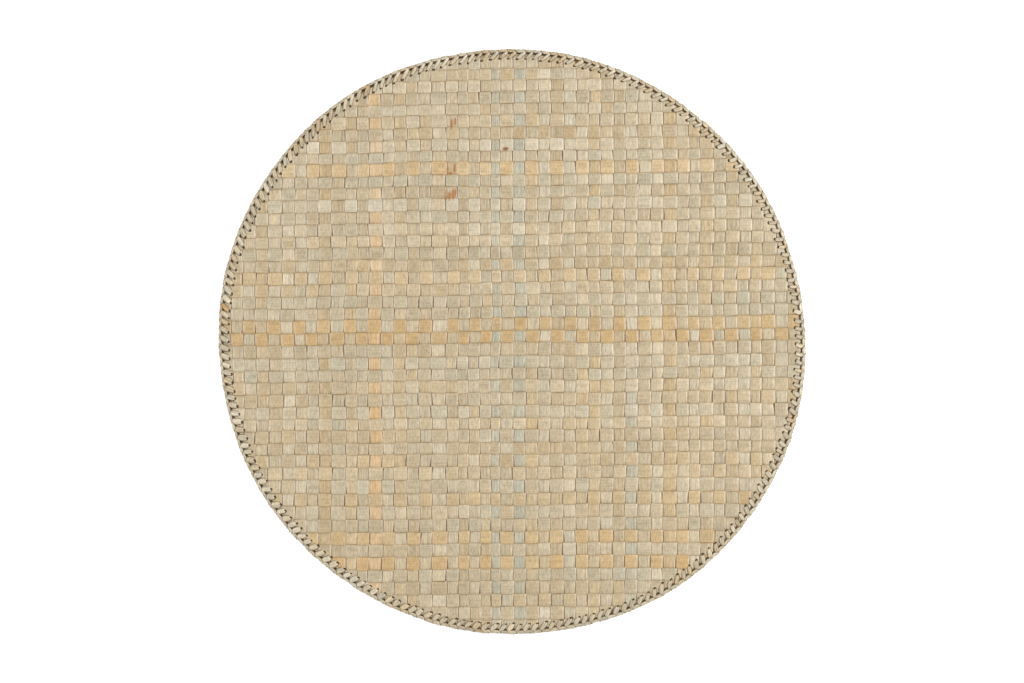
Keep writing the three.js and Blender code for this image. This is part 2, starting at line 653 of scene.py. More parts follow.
@dataclass(frozen=True)
class PandanusLeaf:
    """Pandanus leaf, boiled, dried in the sun and slit into strips.

    It gives the eye a satin straw surface with fine veins along the strip, which dries unevenly from sage
    through straw to amber, with small brown flecks; painted shade darkens it in the grooves and under
    the lacing at its cut edge, which is also browner.

    Attributes:
        name: The material's name.
        tones: Colours from sage to amber, each with its place from 0 to 1.
        pale: What a bleached strip tends to.
        deep: What a dark strip tends to.
        bleach: How much of either colour a paleness of 1 or -1 brings.
        brown: Half painted shade, as in the grooves, and the browner slit edges.
        black: Full painted shade, as under the lacing at the cut edge and in the awl holes.
        fleck: The colour of the flecks.
        veins: The veins along the leaf. The real ones are about 0.3 mm apart, too fine to show, so they are
            drawn as coarse as this.
        mottle: Marks in the plan, where the ribs beneath press through the leaf.
        clouds: The soft clouds in which the leaf dried.
        flecks: Where the flecks lie.
        swings: Between which values a noise lightens and darkens the leaf.
        fleck_edge: Between which values of their noise the flecks fade in.
        fleck_strength: How much of the leaf's colour they cover.
        cut_edge_shade_and_browning: Between which values of the rim attribute the leaf near the cut edge
            darkens: painted shade under the lacing, where the cut leaf is also browner.
        roughness: The satin's middle roughness.
        dulling: How much smoother it is between the veins, and how much rougher on them.
        ior: The index of refraction of the leaf's waxy skin.
        bump: How high the veins stand.
        bump_strength: What share of their height the light sees.
    """

    name: str
    tones: tuple[tuple[float, str], ...]
    pale: str = "#ddd4be"
    deep: str = "#a88e65"
    bleach: float = 0.2
    brown: str = "#7c5c33"
    black: str = "#3b2917"
    fleck: str = "#865f34"
    veins: Grain = Grain(sizes=(30 * MM, 0.8 * MM), apart=1.0, detail=2.0, roughness=0.6, contrast=0.1)
    mottle: Grain = Grain(sizes=(0.9 * MM, 3.4 * MM), apart=0.0, detail=3.0, roughness=0.8, contrast=0.26)
    clouds: Grain = Grain(sizes=(11 * MM, 6.5 * MM), apart=1.7, detail=0.0, contrast=0.055)
    flecks: Grain = Grain(sizes=(2.4 * MM, 1.5 * MM), apart=3.0, detail=1.0)
    swings: tuple[float, float] = (0.3, 0.7)
    fleck_edge: tuple[float, float] = (0.76, 0.82)
    fleck_strength: float = 0.6
    cut_edge_shade_and_browning: tuple[float, float] = (0.6, 0.66)
    roughness: float = 0.3
    dulling: tuple[float, float] = (-0.07, 0.1)
    ior: float = 1.4
    bump: float = 0.05 * MM
    bump_strength: float = 0.6

    def material(self, stains: tuple[RustStain, ...] = ()) -> Material:
        """Builds the leaf's material.

        Args:
            stains: Rust marks, if the strips have any.

        Returns:
            The material.
        """
        leaf = bpy.data.materials.new(self.name)
        leaf.use_nodes = True
        tree = leaf.node_tree
        shader = tree.nodes["Principled BSDF"]
        place = add_node(tree, "ShaderNodeAttribute", attribute_name="leaf").outputs["Vector"]
        veins = self.veins.build(tree, place)
        colour = self.grained(tree, self.dried_colour(tree), veins, place)
        colour = self.painted_shade_and_browned(tree, colour)
        for stain in stains:
            colour = stain.mark(tree, colour)
        limits = {"To Min": self.roughness + self.dulling[0], "To Max": self.roughness + self.dulling[1]}
        gloss = add_node(tree, "ShaderNodeMapRange", {"Value": veins} | limits)
        ridge = {"Strength": self.bump_strength, "Distance": self.bump, "Height": veins}
        ridges = add_node(tree, "ShaderNodeBump", ridge)
        tree.links.new(colour.outputs["Result"], shader.inputs["Base Color"])
        tree.links.new(gloss.outputs["Result"], shader.inputs["Roughness"])
        tree.links.new(ridges.outputs["Normal"], shader.inputs["Normal"])
        shader.inputs["IOR"].default_value = self.ior
        return leaf

    def dried_colour(self, tree: Tree) -> Node:
        """Adds the colour to which each pad of leaf has dried, from its tone and paleness.

        Args:
            tree: The material's tree.

        Returns:
            The colour.
        """
        tone = add_node(tree, "ShaderNodeAttribute", attribute_name="tone").outputs["Fac"]
        colour = add_node(tree, "ShaderNodeValToRGB", {"Fac": tone})
        stops = colour.color_ramp.elements
        while len(stops) < len(self.tones):
            stops.new(1.0)
        for stop, (position, shade) in zip(stops, self.tones):
            stop.position = position
            stop.color = linear(shade)
        pale = add_node(tree, "ShaderNodeAttribute", attribute_name="pale").outputs["Fac"]
        for end, share in ((self.pale, self.bleach), (self.deep, -self.bleach)):
            pull = {0: pale, 1: share}
            amount = add_node(tree, "ShaderNodeMath", pull, operation="MULTIPLY", use_clamp=True)
            tended = {0: amount, 6: colour, 7: linear(end)}
            colour = add_node(tree, "ShaderNodeMix", tended, data_type="RGBA")
        return colour

    def grained(self, tree: Tree, colour: Source, veins: Source, place: Source) -> Node:
        """Lightens and darkens the colour along the veins, in a mottle and in clouds, and adds flecks.

        Args:
            tree: The material's tree.
            colour: The dried leaf's colour.
            veins: The veins' strength.
            place: The place on the leaf.

        Returns:
            The grained colour.
        """
        plan = add_node(tree, "ShaderNodeTexCoord").outputs["Object"]
        mottle, clouds = self.mottle.build(tree, plan), self.clouds.build(tree, place)
        light: Source | float = 1.0
        for noise, grain in ((veins, self.veins), (mottle, self.mottle), (clouds, self.clouds)):
            limits = {"From Min": self.swings[0], "From Max": self.swings[1]}
            limits |= {"To Min": -grain.contrast, "To Max": grain.contrast}
            swing = add_node(tree, "ShaderNodeMapRange", {"Value": noise} | limits)
            light = add_node(tree, "ShaderNodeMath", {0: light, 1: swing}, operation="ADD")
        shaded = add_node(tree, "ShaderNodeVectorMath", {0: colour, "Scale": light}, operation="SCALE")
        limits = {"From Min": self.fleck_edge[0], "From Max": self.fleck_edge[1]}
        limits |= {"To Max": self.fleck_strength}
        spots = self.flecks.build(tree, place)
        fleck = add_node(tree, "ShaderNodeMapRange", {"Value": spots} | limits)
        flecked = {0: fleck, 6: shaded, 7: linear(self.fleck)}
        return add_node(tree, "ShaderNodeMix", flecked, data_type="RGBA")

    def painted_shade_and_browned(self, tree: Tree, colour: Source) -> Source:
        """Darkens the leaf where the piece's own attributes say so: painted shade in the grooves, under the
        lacing and in the awl holes, and browner edges.

        Args:
            tree: The material's tree.
            colour: The grained colour.

        Returns:
            The darkened colour, painted shade included.
        """
        # Painted shade of the grooves, the awl holes and the lines between strips and stitches, with the
        # browner slit edges, from the piece's attribute.
        grooves = add_node(tree, "ShaderNodeAttribute", attribute_name="painted_shade_and_browning").outputs["Fac"]
        rim = add_node(tree, "ShaderNodeAttribute", attribute_name="rim").outputs["Fac"]
        # Painted shade near the cut edge, under the lacing, where the cut leaf is also browner.
        limits = {"From Min": self.cut_edge_shade_and_browning[0], "From Max": self.cut_edge_shade_and_browning[1]}
        cut = add_node(tree, "ShaderNodeMapRange", {"Value": rim} | limits)
        painted_shade_and_browning = add_node(tree, "ShaderNodeMath", {0: grooves, 1: cut}, operation="MAXIMUM")
        # Half painted shade mixes in brown, and full painted shade mixes in near-black.
        for shade, start in ((self.brown, 0.0), (self.black, 0.5)):
            limits = {"From Min": start, "From Max": start + 0.5}
            amount = add_node(tree, "ShaderNodeMapRange", {"Value": painted_shade_and_browning} | limits)
            browner = {0: amount, 6: colour, 7: linear(shade)}
            colour = add_node(tree, "ShaderNodeMix", browner, data_type="RGBA")
        return colour


# Leaf dried pale, sage to straw and here and there amber, with a satin skin whose veins hardly show.
WEFT_LEAF = PandanusLeaf(
    name="dried_pandanus_weft",
    tones=((0.0, "#aeaa96"), (0.25, "#b6ab91"), (0.45, "#bbaa8c"), (0.7, "#c4ab82"), (1.0, "#c49b62")),
)

# Leaf whose veins show more, as the warp's do: their grain, with painted light and shade for the side light
# that rakes across veins running along Y.
WARP_LEAF = replace(WEFT_LEAF, name="dried_pandanus_warp", veins=replace(WEFT_LEAF.veins, contrast=0.16))

# The lacing is slit from the leaf's middle and scraped thin, so that its veins are close and plain.
LACING_LEAF = PandanusLeaf(
    name="scraped_pandanus_lacing",
    tones=((0.0, "#bab19c"), (0.4, "#bfb297"), (0.75, "#bea37a"), (1.0, "#bf8c52")),
    veins=Grain(sizes=(8 * MM, 0.5 * MM), apart=1.0, detail=2.0, roughness=0.6, contrast=0.36),
    roughness=0.32,
)


@dataclass
class FlatStrips:
    """The strips of one course, drawn flat with their top and bottom faces in one plane.

    Attributes:
        points: The corners' places.
        faces: The faces' corner numbers.
        point_values: The corners' attributes by name.
        face_values: The faces' attributes by name.
    """

    points: list[tuple[float, float, float]] = field(default_factory=list)
    faces: list[tuple[int, ...]] = field(default_factory=list)
    point_values: dict[str, list[float]] = field(default_factory=dict)
    face_values: dict[str, list[float]] = field(default_factory=dict)

    def add_face(self, ring: tuple[int, ...], tone: float, pale: float) -> None:
        """Adds one face with its tone and paleness.

        Args:
            ring: The face's corner numbers, in order.
            tone: Its leaf's tone, from 0, sage, to 1, amber.
            pale: Its leaf's paleness.
        """
        self.faces.append(tuple(int(i) for i in ring))
        self.face_values.setdefault("tone", []).append(float(tone))
        self.face_values.setdefault("pale", []).append(float(pale))

    def mesh(self, name: str) -> Mesh:
        """Turns the drawing into a mesh.

        Args:
            name: The mesh's name.

        Returns:
            The mesh, with its attributes.
        """
        mesh = bpy.data.meshes.new(name)
        mesh.from_pydata(self.points, [], self.faces)
        for values, domain in ((self.point_values, "POINT"), (self.face_values, "FACE")):
            for key, numbers in values.items():
                mesh.attributes.new(key, "FLOAT", domain).data.foreach_set("value", numbers)
        return mesh


@dataclass(frozen=True)
class StripCut:
    """How the strips of one course are slit and how they lie.

    Attributes:
        fill: How much of its room between its neighbours a strip fills, on average. Above 1 its edges ride
            over those neighbours where they dip.
        ragged: How each long edge swings, as a share of half that room.
        sway: How the whole strip swings to the sides, as a share of that room.
        groove: Between which heights of the wave the leaf gets painted shade, as in a groove, 1 being the
            top of a pad.
        slit_brown_and_shade: How dark the slit long edges are: browner leaf, and painted shade in the lines
            between strips.
    """

    fill: float
    ragged: SoftNoise
    sway: SoftNoise
    groove: tuple[float, float]
    slit_brown_and_shade: float


@dataclass
class WovenField:
    """The mat's field: weft and warp strips that pass over and under each other, cut round.

    Attributes:
        outline: The mat's outline.
        lattice: The plan of the weave.
        leaf: The thickness of a strip.
        cut_inset: How far inside the rim the field is cut round.
        swing: How far a strip's middle lies above or below the mid-plane where it crosses another.
        turn: How soft the strips' turns are between two crossings, as a share of half a crossing.
        crown: How far a pad's middle stands above its long edges.
        twist: How far the long edges tip up and down along a strip.
        twist_pace: How fast that changes from one crossing to the next.
        twist_step: How unlike neighbouring strips are in it.
        strand_step: How far apart the leaf noise of neighbouring strips is read.
        groove_shade_strength: How dark the painted shade is at the foot of a groove.
        slit_start: From where to 1 across half a strip its slit edge darkens.
        sharp: From how many degrees an edge between two faces shows as one.
        cuts: How the strips of each course are slit.
        tones: How the leaf's colour varies.
        reach: How many strips there are to each side of the middle.
        trial_lines: How many lines across a strip are tried to see which part of it is inside the cut.
        least_lines: How many of them have to be inside for the strip to be drawn.
        stations: Where each crossing is cut into faces along the strip.
        section: The corners round a strip's section, as places across it and the face they lie on.
        stains: The rust marks.
    """

    outline: Outline
    lattice: Lattice
    leaf: float = 0.36 * MM
    cut_inset: float = 2.1 * MM
    swing: float = 0.36 * MM
    turn: float = 0.36
    crown: float = 0.12 * MM
    twist: float = 0.07 * MM
    twist_pace: float = 0.6
    twist_step: float = 5.7
    strand_step: float = 7.31
    groove_shade_strength: float = 0.75
    slit_start: float = 0.93
    sharp: float = 50.0
    cuts: dict[Course, StripCut] = field(
        default_factory=lambda: {
            Course.WEFT: StripCut(
                fill=1.035,
                ragged=SoftNoise(height=0.028, length=4.5, step=17.3, seed=21),
                sway=SoftNoise(height=0.016, length=6.5, step=9.1, seed=22),
                groove=(0.03, -0.5),
                slit_brown_and_shade=0.2,
            ),
            Course.WARP: StripCut(
                fill=0.87,
                ragged=SoftNoise(height=0.04, length=4.5, step=17.3, seed=23),
                sway=SoftNoise(height=0.024, length=6.5, step=9.1, seed=24),
                groove=(0.6, -0.45),
                slit_brown_and_shade=0.1,
            ),
        }
    )
    tones: LeafTones = LeafTones()
    reach: int = 25
    trial_lines: int = 41
    least_lines: int = 3
    stations: tuple[float, ...] = (0.0, 0.06, 0.18, 0.5, 0.82, 0.94)
    section: tuple[tuple[float, float], ...] = (
        (-1.0, 0.25),
        (-0.92, 1.0),
        (-0.6, 1.0),
        (0.6, 1.0),
        (0.92, 1.0),
        (1.0, 0.25),
        (1.0, -1.0),
        (-1.0, -1.0),
    )
    stains: tuple[RustStain, ...] = (
        RustStain(x=-39.1 * MM, y=140.8 * MM, half_width=1.0 * MM, half_length=3.1 * MM),
        RustStain(x=-36.7 * MM, y=142.2 * MM, half_width=0.8 * MM, half_length=2.6 * MM),
        RustStain(x=-37.1 * MM, y=111.9 * MM, half_width=0.9 * MM, half_length=3.0 * MM),
        RustStain(x=-41.5 * MM, y=110.6 * MM, half_width=0.9 * MM, half_length=2.8 * MM),
        RustStain(x=-39.6 * MM, y=108.6 * MM, half_width=1.4 * MM, half_length=1.0 * MM),
        RustStain(x=-42.6 * MM, y=94.6 * MM, half_width=1.0 * MM, half_length=3.4 * MM),
        RustStain(x=-40.4 * MM, y=94.0 * MM, half_width=1.1 * MM, half_length=2.6 * MM),
        RustStain(x=-38.0 * MM, y=95.2 * MM, half_width=1.2 * MM, half_length=3.3 * MM),
        RustStain(x=-36.4 * MM, y=96.3 * MM, half_width=0.8 * MM, half_length=2.2 * MM),
        RustStain(x=-4.1 * MM, y=124.5 * MM, half_width=2.1 * MM, half_length=1.1 * MM, colour="#7c3c04"),
    )

    def build(self) -> list[Piece]:
        """Draws, weaves and dresses both courses.

        Returns:
            The weft and the warp strips.
        """
        given = {}
        for course, leaf in ((Course.WEFT, WEFT_LEAF), (Course.WARP, WARP_LEAF)):
            given[course] = self.tree_values(course, leaf.material(self.stains))
        tree = self.weave_tree(given[Course.WEFT])
        pieces = []
        for course, values in given.items():
            piece = link_piece(course.value, self.draw(course).mesh(course.value))
            shape_with_tree(piece, tree, values)
            piece.data.set_sharp_from_angle(angle=math.radians(self.sharp))
            pieces.append(piece)
        return pieces

    def draw(self, course: Course) -> FlatStrips:
        """Draws all strips of a course flat.

        Args:
            course: Which way the strips run.

        Returns:
            The drawing.
        """
        drawing = FlatStrips()
        stations = np.array([i + share for i in range(-self.reach, self.reach) for share in self.stations])
        for number in range(-self.reach, self.reach):
            self.draw_strip(drawing, course, number, stations)
        return drawing

    def line(
        self, course: Course, number: int, across: float, stations: np.ndarray
    ) -> tuple[np.ndarray, np.ndarray, np.ndarray]:
        """Places one lengthwise line of a strip.

        Args:
            course: Which way the strip runs.
            number: Which strip it is.
            across: Which line, from -1 at one long edge to 1 at the other.
            stations: Where to place it along the strip, in crossings.

        Returns:
            The line's places along X and Y and how far each lies inside the cut edge.
        """
        cut = self.cuts[course]
        filled = cut.fill + cut.ragged.at(stations, number + math.copysign(0.5, across))
        middle = number + 0.5 + cut.sway.at(stations, number)
        cross = middle + 0.5 * across * filled
        at = (stations, cross) if course is Course.WEFT else (cross, stations)
        x, y = self.lattice.place(*at)
        return x, y, self.outline.inset(x, y) - self.cut_inset

    def inside_span(self, course: Course, number: int, stations: np.ndarray) -> tuple[float, float] | None:
        """Finds which part of a strip's width lies inside the cut edge.

        Args:
            course: Which way the strip runs.
            number: Which strip it is.
            stations: The places along the strip, in crossings.

        Returns:
            The part's two limits across the strip, or None where too little is inside.
        """
        shares = np.linspace(-1, 1, self.trial_lines)
        least = 2 * len(self.stations)
        good = [s for s in shares if (self.line(course, number, s, stations)[2] > 0).sum() > least]
        if len(good) < self.least_lines:
            return None
        return min(good), max(good)

    def draw_strip(self, drawing: FlatStrips, course: Course, number: int, stations: np.ndarray) -> None:
        """Draws one strip as a closed flat tube that ends on the cut edge.

        Args:
            drawing: What the strip is added to.
            course: Which way it runs.
            number: Which strip it is.
            stations: The places along the strip, in crossings.
        """
        span = self.inside_span(course, number, stations)
        if span is None:
            return
        pads = np.arange(-self.reach, self.reach)
        tone, pale = self.tones.along_strip(course, number, pads)
        corners = []
        ends = []
        for share, side in self.section:
            across = span[0] + (span[1] - span[0]) * (share + 1) / 2
            first = len(drawing.points)
            numbers = self.draw_line(drawing, course, number, across, side, stations)
            corners.append(first + numbers)
            ends.append((first, len(drawing.points) - 1))
        flip = -1 if course is Course.WARP else 1
        pad = np.clip(np.floor(stations).astype(int) + self.reach, 0, len(pads) - 1)
        for lower, upper in zip(corners, corners[1:] + corners[:1]):
            for k in range(len(stations) - 1):
                ring = dict.fromkeys((lower[k], lower[k + 1], upper[k + 1], upper[k]))
                if len(ring) > 2:
                    drawing.add_face(tuple(ring)[::flip], tone[pad[k]], pale[pad[k]])
        drawing.add_face(tuple(end[0] for end in ends)[::flip], tone[0], pale[0])
        drawing.add_face(tuple(end[1] for end in ends)[::-flip], tone[-1], pale[-1])

    def draw_line(
        self,
        drawing: FlatStrips,
        course: Course,
        number: int,
        across: float,
        side: float,
        stations: np.ndarray,
    ) -> np.ndarray:
        """Adds the corners along one lengthwise line, with one corner at each end on the cut edge.

        Args:
            drawing: What the corners are added to.
            course: Which way the strip runs.
            number: Which strip it is.
            across: The line's place across the strip.
            side: Its height on the strip's section, from 1 on the top face to -1 on the bottom face.
            stations: The places along the strip, in crossings.

        Returns:
            For each station, the number of its corner among those added.
        """
        _, _, depth = self.line(course, number, across, stations)
        inside = np.flatnonzero(depth > 0)
        first, last = inside[0], inside[-1]
        limits = []
        for outer, inner in ((first - 1, first), (last + 1, last)):
            share = depth[inner] / (depth[inner] - depth[outer])
            limits.append(stations[inner] + share * (stations[outer] - stations[inner]))
        kept = np.clip(stations[first - 1 : last + 2], *limits)
        x, y, _ = self.line(course, number, across, kept)
        along, over = (x, y) if course is Course.WEFT else (y, x)
        drawing.points.extend(zip(x.tolist(), y.tolist(), [0.0] * len(x)))
        parity = 1.0 if (number % 2 == 0) == (course is Course.WEFT) else -1.0
        values = {
            "run": kept,
            "across": np.full(len(x), across),
            "side": np.full(len(x), side),
            "parity": np.full(len(x), parity),
            "inset": self.outline.inset(x, y),
            "along": along,
            "over": over,
            "strip": np.full(len(x), number + (0.5 if course is Course.WARP else 0.0)),
        }
        for key, numbers in values.items():
            drawing.point_values.setdefault(key, []).extend(numbers.tolist())
        return np.clip(np.arange(len(stations)), first - 1, last + 1) - (first - 1)

    def tree_values(self, course: Course, leaf: Material) -> dict[str, Any]:
        """Gives the weave tree's inputs their sizes.

        Args:
            course: Which way the strips run.
            leaf: Their material.

        Returns:
            The values by input name.
        """
        cut = self.cuts[course]
        return {
            "Leaf Thickness": self.leaf,
            "Swing": self.swing,
            "Turn": self.turn,
            "Crown": self.crown,
            "Twist": self.twist,
            "Twist Pace": self.twist_pace,
            "Twist Step": self.twist_step,
            "Bed": self.swing + self.leaf / 2 + self.crown / 3 + self.twist,
            "Rim Lift": RIM_LIFT,
            "Lift Start": LIFT_START,
            "Lift End": LIFT_END,
            "Rim Zone": RIM_ZONE,
            "Strand Step": self.strand_step,
            "Groove Top": cut.groove[0],
            "Groove Foot": cut.groove[1],
            "Groove Shade Strength": self.groove_shade_strength,
            "Slit Start": self.slit_start,
            "Slit Brown And Shade": cut.slit_brown_and_shade,
            "Leaf": leaf,
        }

    def weave_tree(self, values: dict[str, Any]) -> Tree:
        """Builds the tree that lifts flat strips over and under each other.

        Args:
            values: The tree's inputs.

        Returns:
            The tree.
        """
        tree, size = new_geometry_tree("plain_weave", values)
        read = {
            name: add_node(tree, "GeometryNodeInputNamedAttribute", {"Name": name}, data_type="FLOAT")
            for name in ("run", "across", "side", "parity", "inset", "along", "over", "strip")
        }
        rise = self.rise(tree, size, read)
        across = read["across"]
        risen = {0: rise, 1: size["Swing"], 2: size["Bed"]}
        height = add_node(tree, "ShaderNodeMath", risen, operation="MULTIPLY_ADD")
        square = add_node(tree, "ShaderNodeMath", {0: across, 1: across}, operation="MULTIPLY")
        # Across a strip the mean of the square is a third, so it bows about its own middle height.
        bow = add_node(tree, "ShaderNodeMath", {0: 1 / 3, 1: square}, operation="SUBTRACT")
        bowed = add_node(tree, "ShaderNodeMath", {0: bow, 1: rise}, operation="MULTIPLY")
        half = add_node(tree, "ShaderNodeMath", {0: read["side"], 1: 0.5}, operation="MULTIPLY")
        limits = {"From Min": size["Lift Start"], "From Max": size["Lift End"]}
        inset = {"Value": read["inset"]}
        lift = add_node(tree, "ShaderNodeMapRange", inset | limits, interpolation_type="SMOOTHSTEP")
        tip = self.twisting(tree, size, read)
        tipped = add_node(tree, "ShaderNodeMath", {0: tip, 1: across}, operation="MULTIPLY")
        for share, name in (
            (bowed, "Crown"),
            (half, "Leaf Thickness"),
            (lift, "Rim Lift"),
            (tipped, "Twist"),
        ):
            raised = {0: share, 1: size[name], 2: height}
            height = add_node(tree, "ShaderNodeMath", raised, operation="MULTIPLY_ADD")
        offset = add_node(tree, "ShaderNodeCombineXYZ", {"Z": height})
        shape = add_node(tree, "GeometryNodeSetPosition", {"Geometry": size["Geometry"], "Offset": offset})
        apart = {0: read["strip"], 1: size["Strand Step"]}
        strip = add_node(tree, "ShaderNodeMath", apart, operation="MULTIPLY")
        axes = {"X": read["along"], "Y": read["over"], "Z": strip}
        place = add_node(tree, "ShaderNodeCombineXYZ", axes)
        # Painted shade in the grooves and along the slit edges, kept as an attribute for the material.
        painted_shade_and_browning = self.painted_shade_and_browning(tree, size, rise, across)
        rim = add_node(tree, "ShaderNodeMapRange", inset | {"From Min": size["Rim Zone"], "From Max": 0.0})
        for name, kind, value in (
            ("leaf", "FLOAT_VECTOR", place),
            ("painted_shade_and_browning", "FLOAT", painted_shade_and_browning),
            ("rim", "FLOAT", rim),
        ):
            stored = {"Geometry": shape, "Name": name, "Value": value}
            options = {"data_type": kind, "domain": "POINT"}
            shape = add_node(tree, "GeometryNodeStoreNamedAttribute", stored, **options)
        return finish_geometry_tree(tree, shape, size["Leaf"])

    def rise(self, tree: Tree, size: Sockets, read: dict[str, Node]) -> Node:
        """Adds the over and under wave: a sine whose tops are pressed flat.

        Args:
            tree: The weave tree.
            size: Its inputs.
            read: The flat strips' attributes.

        Returns:
            1 in the middle of a pad that lies over, and -1 where the strip lies under.
        """
        angle = add_node(tree, "ShaderNodeMath", {0: read["run"], 1: math.pi}, operation="MULTIPLY")
        sine = add_node(tree, "ShaderNodeMath", {0: angle}, operation="SINE")
        wave = add_node(tree, "ShaderNodeMath", {0: sine, 1: read["parity"]}, operation="MULTIPLY")
        soft = add_node(tree, "ShaderNodeMath", {0: size["Turn"], 1: size["Turn"]}, operation="MULTIPLY")
        lengths = []
        for value in (wave, 1.0):
            squared = {0: value, 1: value, 2: soft}
            total = add_node(tree, "ShaderNodeMath", squared, operation="MULTIPLY_ADD")
            lengths.append(add_node(tree, "ShaderNodeMath", {0: total}, operation="SQRT"))
        pressed = add_node(tree, "ShaderNodeMath", {0: wave, 1: lengths[0]}, operation="DIVIDE")
        return add_node(tree, "ShaderNodeMath", {0: pressed, 1: lengths[1]}, operation="MULTIPLY")

    def twisting(self, tree: Tree, size: Sockets, read: dict[str, Node]) -> Node:
        """Adds how each strip tips to one side and the other along its length.

        Args:
            tree: The weave tree.
            size: Its inputs.
            read: The flat strips' attributes.

        Returns:
            The tip, from about -1 to 1.
        """
        run, strip = read["run"], read["strip"]
        slow = add_node(tree, "ShaderNodeMath", {0: run, 1: size["Twist Pace"]}, operation="MULTIPLY")
        apart = add_node(tree, "ShaderNodeMath", {0: strip, 1: size["Twist Step"]}, operation="MULTIPLY")
        place = add_node(tree, "ShaderNodeCombineXYZ", {"X": slow, "Y": apart})
        noise = add_node(tree, "ShaderNodeTexNoise", {"Vector": place, "Scale": 1.0, "Detail": 1.0})
        limits = {"From Min": NOISE_LOW, "From Max": NOISE_HIGH, "To Min": -1.0, "To Max": 1.0}
        return add_node(tree, "ShaderNodeMapRange", {"Value": noise} | limits)

    def painted_shade_and_browning(self, tree: Tree, size: Sockets, rise: Source, across: Source) -> Node:
        """Adds painted shade in the grooves and on the long cut edges, which are also browner.

        Args:
            tree: The weave tree.
            size: Its inputs.
            rise: The over and under wave.
            across: The place across the strip.

        Returns:
            The darkening, from 0 to 1.
        """
        # Painted shade where the strip dives under a crossing strip.
        limits = {"From Min": size["Groove Top"], "From Max": size["Groove Foot"]}
        limits |= {"To Max": size["Groove Shade Strength"]}
        groove = add_node(tree, "ShaderNodeMapRange", {"Value": rise} | limits)
        # The slit long edges are browner, and they also get painted shade in the lines between strips.
        edge = add_node(tree, "ShaderNodeMath", {0: across}, operation="ABSOLUTE")
        limits = {"From Min": size["Slit Start"], "From Max": 1.0, "To Max": size["Slit Brown And Shade"]}
        slit = add_node(tree, "ShaderNodeMapRange", {"Value": edge} | limits)
        return add_node(tree, "ShaderNodeMath", {0: groove, 1: slit}, operation="MAXIMUM")


@dataclass(frozen=True)
class StitchPoint:
    """A point on the lacing strip's way round one stitch.

    Attributes:
        clockwise: How far it lies along the mat's edge, in millimetres.
        out: How far it lies outside the field's cut edge, in millimetres.
        up: How far it lies above the field's mid-plane, in millimetres.
        width: The strip's width there, in millimetres.
        thick: Its thickness there, in millimetres.
        facing: The way its outer face looks, clockwise, out and up.
    """

    clockwise: float
    out: float
    up: float
    width: float
    thick: float
    facing: tuple[float, float, float]


@dataclass(frozen=True)
class StitchDraw:
    """A number that is drawn for each stitch.

    Attributes:
        name: The attribute that keeps it.
        low: Its lower limit.
        high: Its upper limit.
        reseed: What is added to the lacing's seed for it, so that no two draws are alike.
    """

    name: str
    low: float
    high: float
    reseed: float


